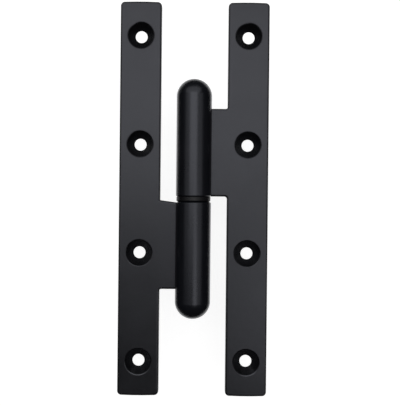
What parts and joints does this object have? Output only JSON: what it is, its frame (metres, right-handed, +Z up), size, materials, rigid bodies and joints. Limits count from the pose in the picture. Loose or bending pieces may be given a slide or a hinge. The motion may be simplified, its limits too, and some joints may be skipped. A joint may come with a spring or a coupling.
{
  "type": "lift-off hinge",
  "caption": "Lift-off hinge in an H form: long stamped leaves with countersunk screw holes, domed barrels, a fixed upright pin and a bearing washer between the barrels.",
  "frame": {"origin": "on the pin's axis, at the middle of the washer's thickness", "axes": "+Z up along the pin, +X from the pin leaf to the socket leaf when opened flat, +Y from the countersunk faces to the backs of the leaves"},
  "size_m": [0.068, 0.016, 0.18],
  "materials": {
    "leaf_coat": "matt black powder coat with a fine grain",
    "barrel_coat": "satin black powder coat",
    "pin_steel": "ground bright steel, lightly stained",
    "washer_black": "smooth black plastic"
  },
  "bodies": {
    "pin_leaf": {"pin_leaf_plate": "leaf_coat", "pin_leaf_barrel": "barrel_coat", "pin_leaf_weld": "barrel_coat", "hinge_pin": "pin_steel"},
    "washer": {"bearing_washer": "washer_black"},
    "socket_leaf": {"socket_leaf_plate": "leaf_coat", "socket_leaf_barrel": "barrel_coat", "socket_leaf_weld": "barrel_coat"}
  },
  "joints": [
    {"name": "swing", "type": "hinge", "parent": "pin_leaf", "child": "washer", "pos_m": [0, 0, 0], "axis": [0, 0, 1], "range_deg": [-180, 150]},
    {"name": "lift_off", "type": "slide", "parent": "washer", "child": "socket_leaf", "axis": [0, 0, 1], "range_m": [0, 0.04]}
  ]
}
